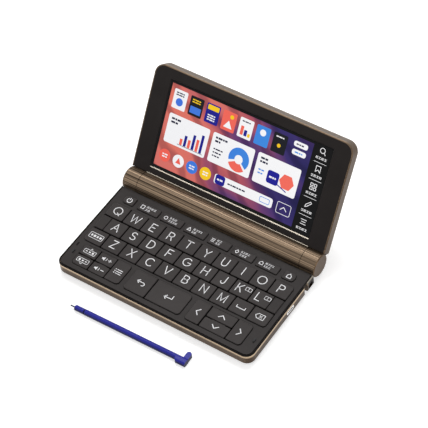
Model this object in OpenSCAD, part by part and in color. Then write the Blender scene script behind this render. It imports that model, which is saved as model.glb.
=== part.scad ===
// Folding electronic dictionary: a flat keyboard base, a barrel along its rear edge that holds
// two AA cells, and a touch screen lid that turns on the barrel's ends. A stylus lies in front.
// Millimetres. X to the right, Y to the rear, Z up. Everything is drawn with the hinge axis above
// y = 0 and then moved, so that the origin is on the table below the middle of the whole.

/* [Body] */
// Width of the closed body
body_w = 148; // [146:0.5:160]
// Distance from the hinge axis to the front face of the base
front_reach = 81.4; // [81:0.1:90]
// Height of the keyboard deck above the table
deck_h = 9.3; // [9.2:0.1:10.5]
// Gap that the rubber feet hold under the base
foot_h = 0.6; // [0.4:0.1:0.9]
// Corner radius of the base, seen from above
corner_r = 6; // [4:0.5:8]
// Side wall of the bottom case
case_wall = 1.6; // [1.4:0.1:2]
// Rim of the side wall beside the deck
rim_wall = 0.9; // [0.8:0.05:1.1]
// Bevel along the top of the rim
rim_bevel = 0.6; // [0.3:0.05:0.7]
// Rounding along the bottom of the base
bottom_round = 1.8; // [1:0.1:2.4]
// Floor of the bottom case
floor_t = 1.2; // [1:0.1:1.3]

/* [Hinge barrel] */
// Height of the hinge axis above the table
axis_h = 9.8; // [9.6:0.1:11]
// Radius of the barrel
barrel_r = 7.9; // [7.8:0.1:8.4]
// Length of a knuckle, which is the lid's part of the barrel
knuckle_w = 11.1; // [9:0.1:14]
// Gap between the fixed barrel and the lid's knuckles
knuckle_gap = 0.3; // [0.2:0.05:0.5]
// Bevel round the outer end of a knuckle
knuckle_bevel = 0.6; // [0.3:0.1:1]
// Wall of the barrel round the batteries
barrel_wall = 0.65; // [0.6:0.05:0.8]
// Radius of a hinge pin
pin_r = 2.2; // [1.8:0.1:3]
// Wall of a knuckle outside the hinge pin
pin_cover = 4.6; // [3:0.1:6]
// Radial clearance of the pin in the barrel, where it turns
pin_clearance = 0.05; // [0.02:0.01:0.1]

/* [Lid] */
// Angle between the lid and the keyboard, where 0 is closed
lid_open = 123.5; // [0:0.5:155]
// Distance from the hinge axis to the lid's far edge
lid_reach = 82; // [81.5:0.1:92]
// Thickness of the lid
lid_t = 8.6; // [8:0.1:9.6]
// Height of the lid's front face over the hinge axis when closed
lid_offset = 0.5; // [0.4:0.05:0.9]
// Corner radius at the lid's far edge
lid_corner_r = 7.5; // [5:0.5:10]
// Corner radius at the lid's hinge edge
lid_root_r = 3; // [1:0.5:4]
// Rounding along the lid's back
lid_round = 2; // [1:0.1:2.5]
// Bevel along the lid's front edge
lid_bevel = 0.3; // [0.1:0.05:0.5]
// Rim of the lid shell beside the bezel
lid_rim = 0.85; // [0.7:0.05:1]
// Wall of the lid shell
lid_wall = 1.2; // [1:0.1:1.5]
// Thickness of the bezel
bezel_t = 1.2; // [1:0.1:1.5]
// Running gap between the barrel and the lid's hollow root
root_gap = 0.4; // [0.3:0.05:0.6]
// Distance from the hinge axis to the root of the lid's back
lid_root = 5; // [4:0.5:7]

/* [Display] */
// Width of the window in the bezel
window_w = 121.4; // [110:0.2:124]
// Bezel above the window
window_top = 7.7; // [6:0.1:12]
// Distance from the hinge axis to the window's lower edge
window_root = 13.3; // [12:0.1:16]
// Bevel round the window
window_bevel = 0.5; // [0.3:0.05:0.6]
// Depth of the glass below the bezel
glass_recess = 0.5; // [0.3:0.05:0.6]
// Border of the panel that lies hidden behind the bezel
panel_border = 1.8; // [1:0.1:2.4]
// Thickness of the display panel with its glass
panel_t = 3.2; // [2.5:0.1:4]

/* [Keyboard] */
// Deck beside the letter keys
side_deck = 4.76; // [4:0.02:8]
// Deck in front of the front row
front_deck = 5.1; // [4.5:0.1:8]
// Gap between neighbouring keys
key_gap = 0.72; // [0.6:0.02:1]
// Gap between neighbouring rows
row_gap = 0.85; // [0.7:0.05:1]
// Deck between the letter keys and the front row
front_strip = 2.4; // [2:0.05:4]
// Distance from the hinge axis to the rear of the letter keys
letter_rear = 22.5; // [22:0.05:24]
// Distance from the hinge axis to the middle of the function row
function_row_y = 16.6; // [16.4:0.05:17]
// Depth of the function keys
function_d = 6.2; // [5.5:0.1:6.4]
// Gap between the wide function keys
function_gap = 2.52; // [2:0.02:4]
// Width of the power and home keys
corner_key_w = 8.3; // [7:0.1:9]
// Deck beside the power and home keys
corner_deck = 8.35; // [8:0.05:9]
// Deck between the corner keys and the wide function keys
corner_strip = 3.65; // [3.6:0.05:5]
// Deck at the left of the front row
front_left = 9.1; // [8.5:0.1:11]
// Deck at the right of the front row
front_right = 10.5; // [8.5:0.1:11]
// Deck between the groups of the front row
group_strip = 3.9; // [3.7:0.1:4.5]
// Depth of the front row
front_row_d = 16.5; // [15:0.1:16.8]
// How far a key stands above the deck
key_rise = 0.8; // [0.6:0.05:0.9]
// How far the rockers stand above the deck
rocker_rise = 0.5; // [0.3:0.05:0.55]
// How far a key travels
key_travel = 0.7; // [0.5:0.05:0.8]
// Corner radius of a key
key_corner_r = 0.8; // [0.4:0.1:1.2]
// Corner radius at the corners of a group of keys
group_corner_r = 2.4; // [1.5:0.1:3]
// Bevel round the top of a key
key_bevel = 0.3; // [0.1:0.05:0.5]
// Gap between the keys and the edge of the deck
deck_gap = 0.3; // [0.25:0.05:0.4]
// Thickness of the deck
deck_t = 1.4; // [1.2:0.1:1.5]
// Width of the groove between the deck and the rim
groove_w = 0.6; // [0.4:0.1:0.8]

/* [Batteries] */
// Diameter of an AA cell
cell_d = 14.1; // [13.5:0.1:14.2]
// Solid end of the barrel beside the battery compartment
end_block = 9.1; // [7:0.1:12]
// Room for a contact between the cells and the end of the compartment
contact_room = 3; // [2:0.1:4]
// Diameter of a terminal
terminal_d = 5.5; // [5:0.1:5.5]

/* [Stylus] */
// Length of the stylus from nib to head
stylus_l = 88.3; // [85:0.1:90]
// Diameter of the stylus
stylus_d = 3.9; // [3.6:0.1:4]
// Distance from the hinge axis to the head of the loose stylus in front
stylus_y = 98.4; // [97:0.1:110]
// Position of the stylus head along the front
stylus_x = 39.3; // [20:0.1:60]
// Angle of the loose stylus to the front
stylus_turn = 1; // [-3:0.5:3]
// Length of the arm at the head
stylus_arm = 10.2; // [9:0.1:13]
// Radius of the bore that stows the stylus
silo_r = 2.2; // [2.15:0.05:2.3]
// Length of the bore
silo_l = 84; // [83:0.5:86]
// Distance from the hinge axis to the bore
silo_y = 11.7; // [11.6:0.1:11.8]
// Height of the bore above the table
silo_z = 4.1; // [4:0.05:4.1]
// Wall round the bore
silo_wall = 0.6; // [0.5:0.05:0.6]

/* [Inside] */
// Height of the bosses under the main board
board_lift = 1.2; // [1:0.1:1.3]
// Thickness of the main board
board_t = 1; // [0.8:0.1:1.1]
// Thickness of the rubber mat's sheet
mat_t = 0.6; // [0.4:0.1:0.7]
// Height of a rubber dome above the sheet
dome_h = 1.3; // [1:0.1:1.4]
// Diameter of the case screws
screw_d = 1.6; // [1.4:0.1:1.8]
// Length of the case screws under the head
screw_l = 5; // [4.5:0.1:5.2]

/* [Hidden] */
$fn = 64;

// Heights of the stack inside the base, from the case's underside to the key tops
floor_top = foot_h + floor_t;
board_z = floor_top + board_lift;
mat_z = board_z + board_t;
dome_top = mat_z + mat_t + dome_h;
deck_under = deck_h - deck_t;
key_foot = dome_top + key_travel + 0.05;
skirt_z = deck_under - 0.1;
key_roof = 1;
key_wall = 0.9;
stem_r = 1.6;

// Plan of the base. It ends in front of the barrel; a notch for a fingernail in the right side
// sets off the lug that holds the mouth of the stylus bore.
body_rear = 8.2;
lug_d = 6.9;
lug_w = 6.6;
notch_d = 3.85;
notch_w = 5.5;
fit_gap = 0.1;
flange_t = deck_t / 2;
deck_rear = body_rear + 0.15;
wall_rear = body_rear + case_wall;
notch_y = -(body_rear + lug_d + notch_d);
silo_half = silo_r + silo_wall;
silo_end = body_w / 2 - lug_w - silo_l;

// Barrel and battery compartment
barrel_w = body_w - 2 * (knuckle_w + knuckle_gap);
bore_r = barrel_r - barrel_wall;
cell_room = barrel_w - 2 * end_block;
cell_l = cell_room / 2 - contact_room;
cover_split = 0.8;
cover_seam = 0.12;
cover_play = 0.15;
rib_r = 0.3;
pin_depth = end_block - 1.7;
pin_start = barrel_w / 2 - pin_depth + 0.2;
pin_end = body_w / 2 - pin_cover;
terminal_l = 1;
cell_apart = 0.05;
grip_w = 24;
grip_step = 5;

// Lid, drawn closed with the hinge axis as its zero and then turned about that axis
lid_back = lid_offset + lid_t;
bezel_back = lid_offset + bezel_t;
root_r = barrel_r + root_gap;
glass_z = lid_offset + glass_recess;
window_h = lid_reach - window_root - window_top;
window_y = -(window_root + window_h / 2);
panel_w = window_w + 2 * panel_border;
panel_h = window_h + 2 * panel_border;
panel_back = glass_z + panel_t;
frame_t = 0.9;
frame_h = 1.5;
knuckle_x = barrel_w / 2 + knuckle_gap;
neck_z = 2.2;
neck_h = 4;

// Letter keys fill the deck between its borders, ten across in three rows.
block_half = body_w / 2 - side_deck;
key_pitch = (2 * block_half + key_gap) / 10;
key_w = key_pitch - key_gap;
front_row_y = front_reach - front_deck - front_row_d / 2;
block_d = front_row_y - front_row_d / 2 - front_strip - letter_rear;
row_pitch = (block_d + row_gap) / 3;
key_d = row_pitch - row_gap;
blank_x = block_half - (key_pitch - key_gap) / 2;
half_d = (front_row_d - key_gap) / 2;
corner_key_x = body_w / 2 - corner_deck - corner_key_w / 2;
function_half = corner_key_x - corner_key_w / 2 - corner_strip;
function_pitch = (2 * function_half + function_gap) / 6;
function_w = function_pitch - function_gap;

// Front row: three groups of keys, each with its share of the width
FRONT_SHARES = [
    [["size", 12.2], ["volume", 12.2], ["list", 10.75]],
    [["back", 16], ["enter", 25.9]],
    [["left", 10.4], ["updown", 18.9], ["right", 10.6]]
];
function sum(list, i = 0) = i == len(list) ? 0 : list[i] + sum(list, i + 1);
share_unit = (body_w - front_left - front_right - 2 * group_strip - 5 * key_gap)
    / sum([for (group = FRONT_SHARES, key = group) key[1]]);
function share_w(group) = sum([for (key = group) key[1]]) * share_unit + (len(group) - 1) * key_gap;
function share_left(i) =
    i == 0 ? front_left - body_w / 2 : share_left(i - 1) + share_w(FRONT_SHARES[i - 1]) + group_strip;
FRONT_GROUPS = [for (i = [0:2])
    [share_left(i), [for (key = FRONT_SHARES[i]) [key[0], key[1] * share_unit]]]];
ROCKERS = ["size", "volume", "updown"];

function has(list, item) = len([for (i = list) if (i == item) i]) > 0;
function is_rocker(key) = has(ROCKERS, key[0]);
function is_function(key) = key[4] == function_d;
function key_rise_of(key) = is_rocker(key) ? rocker_rise : key_rise;

// Keys are [name, x, y, width, depth, corner radii], radii clockwise from the rear left.
// Corners listed here lie at the corner of a group and have the larger radius.
function corners(big) = [for (i = [0:3]) has(big, i) ? group_corner_r : key_corner_r];
function letter_y(row) = -(letter_rear + key_d / 2 + row * row_pitch);
function end_corners(row, i) = row == 0 && i == 0 ? [0]
    : row == 0 && i == 9 ? [1]
    : row == 2 && i == 9 ? [2]
    : row == 2 && i == 0 ? [3]
    : [];
function letter_row(names, row) = [
    for (i = [0:len(names) - 1])
        [names[i], (i - (len(names) - 1) / 2) * key_pitch, letter_y(row), key_w, key_d,
            corners(end_corners(row, i))]
];
function group_left(group, i) =
    i == 0 ? group[0] : group_left(group, i - 1) + group[1][i - 1][1] + key_gap;
function group_w(group) = let (last = len(group[1]) - 1)
    group_left(group, last) + group[1][last][1] - group[0];
function group_keys(group) = let (last = len(group[1]) - 1) [
    for (i = [0:last])
        [group[1][i][0], group_left(group, i) + group[1][i][1] / 2, -front_row_y, group[1][i][1],
            front_row_d, corners(concat(i == 0 ? [0, 3] : [], i == last ? [1, 2] : []))]
];
FUNCTION_KEYS = concat(
    [["power", -corner_key_x, -function_row_y, corner_key_w, function_d, corners([0, 3])]],
    [for (i = [0:5])
        [str("f", i + 1), (i - 2.5) * function_pitch, -function_row_y, function_w, function_d,
            corners([])]],
    [["home", corner_key_x, -function_row_y, corner_key_w, function_d, corners([1, 2])]]
);
KEYS = concat(
    FUNCTION_KEYS,
    letter_row(["q", "w", "e", "r", "t", "y", "u", "i", "o", "p"], 0),
    letter_row(["a", "s", "d", "f", "g", "h", "j", "k", "l"], 1),
    letter_row(["mode", "z", "x", "c", "v", "b", "n", "m", "space", "delete"], 2),
    [for (group = FRONT_GROUPS) each group_keys(group)]
);

// Domes and stems. Those of the function keys sit forward, to clear the stylus bore.
stem_shift = 1.1;
dome_r = 3.2;
small_dome_r = 2.2;
dome_tip = 1.6;
dome_wall = 0.5;
function stems(key) = is_rocker(key)
    ? [for (s = [-1, 1]) [key[1], key[2] + s * (half_d + key_gap) / 2]]
    : [[key[1], key[2] - (is_function(key) ? stem_shift : 0)]];

// Screws, in the strips of deck between the keys and in the front corners
boss_r = 1.6;
pilot_r = screw_d / 2 + 0.05;
screw_head_r = 1.4;
screw_head_h = 0.7;
screw_seat = foot_h + 0.9;
function strip_x(i) =
    (FRONT_GROUPS[i][0] + group_w(FRONT_GROUPS[i]) + FRONT_GROUPS[i + 1][0]) / 2;
SCREWS = concat(
    [for (s = [-1, 1])
        [s * (2.5 * function_pitch + function_w / 2 + corner_key_x - corner_key_w / 2) / 2,
            -function_row_y]],
    [for (s = [-1, 1]) [s * (body_w / 2 - corner_r), -(front_reach - corner_r)]],
    [for (i = [0, 1]) [strip_x(i), -front_row_y]]
);

// Feet and bumpers
foot_r = 4;
foot_inset = 0.3;
rear_foot_w = 6;
rear_foot_x = (barrel_w + cell_room) / 4;
FRONT_FEET = [for (s = [-1, 1]) [s * (body_w / 2 - 13), 11.4 - front_reach]];
bumper_w = 1.2;
bumper_l = 3;
bumper_h = axis_h + lid_offset - deck_h - fit_gap;
bumper_side = 5;
bumper_front = 13.2;
BUMPERS = [for (s = [-1, 1]) [s * (body_w / 2 - bumper_side), bumper_front - front_reach]];

// Main board: strips of [left, right, front, rear]
board_side = body_w / 2 - case_wall - 0.5;
BOARD = [
    [-board_side, board_side, 0.5 + case_wall - front_reach, notch_y - 1.4],
    [-board_side, body_w / 2 - lug_w - 0.5, notch_y - 1.5, -(silo_y + silo_half + 0.3)],
    [-board_side, silo_end - 0.6, -(silo_y + silo_half + 0.4), -(wall_rear + 0.4)]
];
// Chips are [x, y, width, depth], x and y as shares of the half width and of the reach.
CHIPS = [[-0.6, 0.42, 14, 14], [-0.22, 0.57, 18, 12], [0.3, 0.42, 11, 11], [0.6, 0.71, 9, 16]];
chip_t = 0.9;

// Socket in the right side
port_y = -35.4;
port_w = 7.4;
port_h = 2.4;
port_d = 5.6;
port_inset = 0.2;
port_wall = 0.35;

// Shift of the finished pieces, from the far edges of the stylus and of the open lid
collar_l = 8;
collar_slope = 1.4;
collar_out = 1.7;
front_end = stylus_y + (stylus_d / 2 + collar_out) * cos(stylus_turn)
    + (collar_l - collar_slope) * sin(abs(stylus_turn));
rear_end = (lid_back - lid_round) * sin(lid_open) - (lid_reach - lid_round) * cos(lid_open) + lid_round;
origin_y = (front_end - rear_end) / 2;

// ---- Outlines and blocks ----

// Rectangle with its own radius at each corner, clockwise from the rear left.
module outline(w, d, radii) {
    SIDES = [[-1, 1], [1, 1], [1, -1], [-1, -1]];
    polygon([
        for (i = [0:3]) let (
            s = SIDES[i],
            centre = [s.x * (w / 2 - radii[i]), s.y * (d / 2 - radii[i])],
            across = [centre.x, s.y * d / 2],
            along = [s.x * w / 2, centre.y]
        ) each s.x * s.y < 0 ? [along, centre, across] : [across, centre, along]
    ]);
    for (i = [0:3])
        translate([SIDES[i].x * (w / 2 - radii[i]), SIDES[i].y * (d / 2 - radii[i])])
            circle(radii[i]);
}

module even_outline(w, d, r) {
    outline(w, d, [r, r, r, r]);
}

// Section of a slab's edge. Its outer face is at 0, the slab on the negative side.
module edge_section(inside, h, low_round, top_bevel) {
    translate([-inside, 0]) square([inside - low_round, h / 2]);
    translate([-low_round, low_round]) circle(low_round);
    polygon([[-inside, low_round], [0, low_round], [0, h - top_bevel], [-top_bevel, h], [-inside, h]]);
}

// Slab of w by d by h with corner radius r. Its child is the section of its edge.
module slab(w, d, h, r) {
    for (k = [0:3]) {
        across = k % 2 == 0 ? w : d;
        along = k % 2 == 0 ? d : w;
        rotate(90 * k) {
            translate([across / 2 - r, along / 2 - r])
                rotate_extrude(angle = 90) translate([r, 0]) children();
            translate([0, along / 2]) rotate([90, 0, 90])
                linear_extrude(across - 2 * r, center = true) children();
        }
    }
    translate([r - w / 2, r - d / 2]) cube([w - 2 * r, d - 2 * r, h]);
}

// Block with a bevelled top, standing on z = 0.
module bevelled_block(w, d, h, radii, bevel) {
    intersection() {
        linear_extrude(h + 1) outline(w, d, radii);
        rotate([90, 0, 90]) linear_extrude(w + 2, center = true) bevel_profile(d, h, bevel);
        rotate([90, 0, 0]) linear_extrude(d + 2, center = true) bevel_profile(w, h, bevel);
    }
}

// The slopes run on past the block, so that they cross its sides cleanly.
module bevel_profile(w, h, bevel) {
    polygon([[-w / 2 - 1, -1], [w / 2 + 1, -1], [w / 2 + 1, h - bevel - 1], [w / 2 - bevel, h],
        [bevel - w / 2, h], [-w / 2 - 1, h - bevel - 1]]);
}

// Rod along X.
module bar(x, l, r) {
    translate([x, 0, 0]) rotate([0, 90, 0]) cylinder(r = r, h = l);
}

// Box between two planes on each axis.
module span(x, y, z) {
    translate([x[0], y[0], z[0]]) cube([x[1] - x[0], y[1] - y[0], z[1] - z[0]]);
}

module at_axis() {
    translate([0, 0, axis_h]) children();
}

module in_lid() {
    at_axis() rotate([-lid_open, 0, 0]) children();
}

// Everything is shown through this, with the origin below its middle.
module placed() {
    translate([0, origin_y, 0]) children();
}

module both_sides() {
    children();
    mirror([1, 0, 0]) children();
}

// ---- Base ----

module bottom_case() {
    color("#8a7763") difference() {
        union() {
            case_walls();
            barrel();
            silo_lug();
            for (p = SCREWS) translate([p.x, p.y, floor_top - 0.1])
                cylinder(r = boss_r + 0.8, h = board_lift + 0.1);
        }
        silo_bed();
        notch();
        translate([body_w / 2, port_y, mat_z + port_h / 2]) rotate([90, 0, 90])
            linear_extrude(3 * case_wall, center = true)
                even_outline(port_w + 6 * fit_gap, port_h + 6 * fit_gap, port_h / 2);
        for (p = SCREWS) translate([p.x, p.y, 0]) {
            cylinder(r = screw_d / 2 + 0.15, h = board_z + 1);
            cylinder(r = screw_head_r + 0.15, h = screw_seat);
        }
        for (p = FRONT_FEET) translate([p.x, p.y, 0])
            cylinder(r = foot_r + fit_gap, h = foot_h + foot_inset);
        both_sides() translate([rear_foot_x, 0, 0]) linear_extrude(foot_h + foot_inset)
            even_outline(rear_foot_w + 2 * fit_gap, rear_foot_w + 2 * fit_gap, 1);
    }
}

module case_walls() {
    plan_d = front_reach + corner_r;
    outer_h = deck_h - foot_h;
    difference() {
        translate([0, plan_d / 2 - front_reach, foot_h])
            slab(body_w, plan_d, outer_h, corner_r)
                edge_section(corner_r, outer_h, bottom_round, rim_bevel);
        span([-body_w, body_w], [-body_rear, body_w], [0, 2 * deck_h]);
        translate([0, 0, floor_top]) linear_extrude(deck_h) inside_walls(case_wall, wall_rear);
        translate([0, 0, deck_under]) linear_extrude(deck_h) inside_walls(rim_wall, 0);
    }
}

module inside_walls(wall, rear) {
    d = front_reach - wall - rear;
    r = corner_r - wall;
    translate([0, -rear - d / 2]) outline(body_w - 2 * wall, d, [0.5, 0.5, r, r]);
}

// Fixed middle of the barrel, with the battery compartment open below
module barrel() {
    difference() {
        union() {
            at_axis() bar(-barrel_w / 2, barrel_w, barrel_r);
            span([-barrel_w / 2, barrel_w / 2], [-wall_rear, -bore_r], [floor_top, deck_under]);
            both_sides() translate([rear_foot_x, 0, foot_h]) linear_extrude(barrel_r / 2)
                square(rear_foot_w + 1.2, center = true);
        }
        at_axis() {
            bar(-cell_room / 2, cell_room, bore_r);
            both_sides() bar(barrel_w / 2 - pin_depth, pin_depth + 1, pin_r + pin_clearance);
        }
        span([-cell_room / 2, cell_room / 2], [-barrel_r, barrel_r + 1], [0, axis_h - cover_split]);
    }
}

// Solid rear end of the right side, and the walls round the notch
module silo_lug() {
    x = [body_w / 2 - lug_w, body_w / 2 - case_wall + 0.1];
    z = [floor_top - 0.1, deck_under];
    span(x, [-(body_rear + lug_d), -body_rear], z);
    span(x, [notch_y - 1, notch_y + notch_d + 0.1], z);
}

module silo_bed() {
    translate([0, -silo_y, silo_z]) {
        span([silo_end - fit_gap, body_w / 2 - lug_w], [-silo_half - fit_gap, silo_half + fit_gap],
            [-silo_half, deck_h]);
        bar(body_w / 2 - lug_w - 1, lug_w + 2, silo_r);
    }
}

module notch() {
    span([body_w / 2 - notch_w, body_w], [notch_y, notch_y + notch_d], [0, 2 * deck_h]);
}

module stylus_silo() {
    color("#2b2b2f") translate([0, -silo_y, silo_z]) difference() {
        span([silo_end, silo_end + silo_l], [-silo_half, silo_half], [-silo_half, silo_half]);
        bar(silo_end + silo_wall, silo_l, silo_r);
    }
}

module battery_cover() {
    half = cell_room / 2 - cover_play;
    color("#8a7763") at_axis() {
        difference() {
            bar(-half, 2 * half, barrel_r);
            bar(-half - 1, 2 * half + 2, bore_r);
            span([-body_w, body_w], [-2 * barrel_r, 2 * barrel_r],
                [-cover_split - cover_seam, 2 * barrel_r]);
        }
        // Grip
        for (a = [10:14]) rotate([-grip_step * a, 0, 0])
            translate([0, barrel_r - rib_r / 3, 0]) bar(-grip_w / 2, grip_w, rib_r);
    }
}

module battery_cells() {
    color("#b9bcc4") at_axis() for (x = [-cell_l - cell_apart, 0]) {
        bar(x, cell_l - terminal_l, cell_d / 2);
        bar(x + cell_l - terminal_l - 0.1, terminal_l + 0.1, terminal_d / 2);
    }
}

// A plate at the plus end and a bent leaf spring at the minus end, both on the end blocks
module battery_contacts() {
    leaf_t = 0.4;
    leaf_w = 7;
    plate = [-4.8, 4.8];
    reach = contact_room - cell_apart;
    crest = 1;
    tip = [1, 5.2];
    color("#cfd2d6") at_axis() {
        span([cell_room / 2 - leaf_t, cell_room / 2], plate, plate);
        bar(cell_l, contact_room - leaf_t / 2, terminal_d / 2);
        translate([-cell_room / 2, 0, 0]) {
            span([0, leaf_t], plate, plate);
            rotate([90, 0, 0]) linear_extrude(leaf_w, center = true) polygon([
                [leaf_t / 2, plate[0]], [leaf_t, plate[0]], [reach, crest], tip,
                [tip.x - leaf_t, tip.y - leaf_t], [reach - 1.3 * leaf_t, crest],
                [leaf_t / 2, plate[0] + 2 * leaf_t]
            ]);
        }
    }
}

module main_board() {
    color("#2f6b46") difference() {
        union() {
            intersection() {
                union() for (s = BOARD) span([s[0], s[1]], [s[2], s[3]], [board_z, mat_z]);
                linear_extrude(deck_h) inside_walls(case_wall + 0.5, 0);
            }
            for (c = CHIPS)
                translate([c[0] * body_w / 2, -c[1] * front_reach, board_z - chip_t])
                    linear_extrude(chip_t + 0.1) square([c[2], c[3]], center = true);
            translate([body_w / 2 - port_inset - port_d, port_y, mat_z + port_h / 2]) socket();
        }
        for (p = SCREWS) translate([p.x, p.y, 0]) cylinder(r = boss_r + 0.5, h = deck_h);
    }
}

// Socket shell with its tongue, opening towards +X
module socket() {
    rotate([90, 0, 90]) difference() {
        linear_extrude(port_d) even_outline(port_w, port_h, port_h / 2 - 0.01);
        translate([0, 0, 2 * port_wall]) linear_extrude(port_d)
            even_outline(port_w - 2 * port_wall, port_h - 2 * port_wall, port_h / 2 - port_wall - 0.01);
    }
    span([0, port_d - 1], [1 - port_w / 2, port_w / 2 - 1], [-0.3, 0.3]);
    span([0, port_d / 2], [-2, 2], [-port_h / 2 - 0.1, -port_h / 2 + 0.2]);
}

module key_mat() {
    side = block_half - 2;
    color("#1c1c1e") difference() {
        union() {
            span([-side, side], [-front_row_y - front_row_d / 2, BOARD[1][3]], [mat_z, mat_z + mat_t]);
            for (key = KEYS, p = stems(key)) translate([p.x, p.y, mat_z + mat_t - 0.1])
                dome(is_function(key) ? small_dome_r : dome_r, 0);
        }
        for (key = KEYS, p = stems(key)) translate([p.x, p.y, mat_z - 0.1])
            dome(is_function(key) ? small_dome_r : dome_r, dome_wall);
        for (p = SCREWS) translate([p.x, p.y, 0]) cylinder(r = boss_r + 0.5, h = deck_h);
    }
}

module dome(r, wall) {
    h = dome_h + 0.1 + (wall > 0 ? mat_t - wall : 0);
    cylinder(r1 = r - wall, r2 = dome_tip - wall, h = h);
}

module keyboard_deck() {
    edge = rim_wall + fit_gap;
    color("#333338") difference() {
        union() {
            translate([0, 0, deck_under]) linear_extrude(flange_t) inside_walls(edge, deck_rear);
            translate([0, 0, deck_under + flange_t - 0.1]) linear_extrude(deck_t - flange_t + 0.1)
                inside_walls(rim_wall + groove_w, deck_rear);
            for (p = SCREWS) translate([p.x, p.y, board_z])
                cylinder(r = boss_r, h = deck_under - board_z + 0.1);
            // Blank half keys at the ends of the middle letter row
            both_sides() translate([(blank_x + block_half) / 2, letter_y(1), deck_under])
                bevelled_block(block_half - blank_x, key_d, deck_t + key_rise, corners([]), key_bevel);
        }
        translate([0, 0, deck_under - 1]) linear_extrude(deck_t + 2) key_openings();
        for (p = SCREWS) translate([p.x, p.y, 0]) cylinder(r = pilot_r, h = screw_seat + screw_l + 0.3);
    }
}

module key_openings() {
    for (key = FUNCTION_KEYS) translate([key[1], key[2]])
        opening(key[3], key[4], key[5]);
    for (group = FRONT_GROUPS) translate([group[0] + group_w(group) / 2, -front_row_y])
        opening(group_w(group), front_row_d, corners([0, 1, 2, 3]));
    difference() {
        translate([0, letter_y(1)])
            opening(2 * block_half, 2 * row_pitch + key_d, corners([0, 1, 2, 3]));
        both_sides() translate([blank_x, letter_y(1) - key_d / 2]) square([key_pitch, key_d]);
    }
}

module opening(w, d, radii) {
    outline(w + 2 * deck_gap, d + 2 * deck_gap, [for (r = radii) r + deck_gap]);
}

// ---- Keys ----

// A rocker turns about the bar between its halves
module key(key) {
    top = deck_h + key_rise_of(key);
    r = key[5];
    color("#3c3c42") {
        if (is_rocker(key)) {
            shift = (half_d + key_gap) / 2;
            translate([key[1], key[2], skirt_z]) {
                translate([0, shift, 0])
                    cap(key[3], half_d, top - skirt_z, [r[0], r[1], key_corner_r, key_corner_r]);
                translate([0, -shift, 0])
                    cap(key[3], half_d, top - skirt_z, [key_corner_r, key_corner_r, r[2], r[3]]);
                translate([0, 0, key_roof / 2]) rotate([0, 90, 0])
                    cylinder(d = key_gap + key_wall, h = key[3] / 2, center = true);
            }
        } else {
            translate([key[1], key[2], skirt_z]) cap(key[3], key[4], top - skirt_z, r);
        }
        for (p = stems(key)) translate([p.x, p.y, key_foot])
            cylinder(r = stem_r, h = top - key_roof - key_foot + 0.1);
    }
}

// Key cap, hollow below
module cap(w, d, h, radii) {
    difference() {
        bevelled_block(w, d, h, radii, key_bevel);
        translate([0, 0, -1]) linear_extrude(h - key_roof + 1)
            square([w - 2 * key_wall, d - 2 * key_wall], center = true);
    }
}

// ---- Fasteners and pads ----

module case_screws() {
    color("#55585e") for (p = SCREWS) translate([p.x, p.y, screw_seat]) {
        difference() {
            translate([0, 0, -screw_head_h]) cylinder(r = screw_head_r, h = screw_head_h);
            for (a = [0, 90]) translate([0, 0, -screw_head_h]) rotate(a)
                cube([1.8, 0.4, 0.6], center = true);
        }
        translate([0, 0, -0.1]) cylinder(d = screw_d, h = screw_l + 0.1);
    }
}

module rubber_pads() {
    color("#1d1d20") {
        for (p = FRONT_FEET) translate([p.x, p.y, 0]) cylinder(r = foot_r, h = foot_h + foot_inset);
        both_sides() translate([rear_foot_x, 0, 0]) linear_extrude(foot_h + foot_inset)
            even_outline(rear_foot_w, rear_foot_w, 1);
        for (p = BUMPERS) translate([p.x, p.y, deck_h]) linear_extrude(bumper_h)
            even_outline(bumper_w, bumper_l, bumper_w / 2 - 0.01);
    }
}

module hinge_pins() {
    color("#a9acb2") at_axis() both_sides() bar(pin_start, pin_end - pin_start, pin_r);
}

// ---- Lid ----

module lid_shell() {
    color("#8a7763") in_lid() difference() {
        union() {
            shell_body();
            knuckles();
        }
        both_sides() bar(barrel_w / 2, pin_end - barrel_w / 2, pin_r);
    }
}

module shell_body() {
    plan_d = lid_reach + lid_corner_r;
    far = [-(lid_reach - lid_wall), -(lid_root + lid_wall)];
    difference() {
        translate([0, plan_d / 2 - lid_reach, lid_back]) mirror([0, 0, 1])
            slab(body_w, plan_d, lid_t, lid_corner_r)
                edge_section(lid_corner_r, lid_t, lid_round, lid_bevel);
        span([-body_w, body_w], [-lid_root, body_w], [-body_w, body_w]);
        bar(-body_w, 2 * body_w, root_r);
        both_sides() translate([body_w / 2 - lid_root_r, -(lid_root + lid_root_r), -1])
            linear_extrude(lid_back + 2) difference() {
                square(lid_root_r + 1);
                circle(lid_root_r);
            }
        // Room for the panel, with a wall left along the hollow root
        difference() {
            translate([0, 0, -1]) linear_extrude(lid_back - lid_wall + 1)
                inside_lid(lid_wall, lid_root + lid_wall);
            bar(-body_w, 2 * body_w, root_r + lid_wall);
            panel_supports();
        }
        translate([0, 0, -1]) linear_extrude(bezel_back + 1) inside_lid(lid_rim, 0);
    }
}

module inside_lid(wall, root) {
    d = lid_reach - wall - root;
    r = lid_corner_r - wall;
    translate([0, -root - d / 2]) outline(body_w - 2 * wall, d, [0.5, 0.5, r, r]);
}

// Ribs behind the panel
module panel_supports() {
    z = [panel_back, lid_back];
    for (y = [-0.3, 0.3]) translate([0, window_y + y * window_h, 0])
        span([-body_w / 2, body_w / 2], [-0.6, 0.6], z);
    for (x = [-0.35, 0, 0.35]) translate([x * window_w, 0, 0])
        span([-0.6, 0.6], [-lid_reach, 0], z);
}

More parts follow.
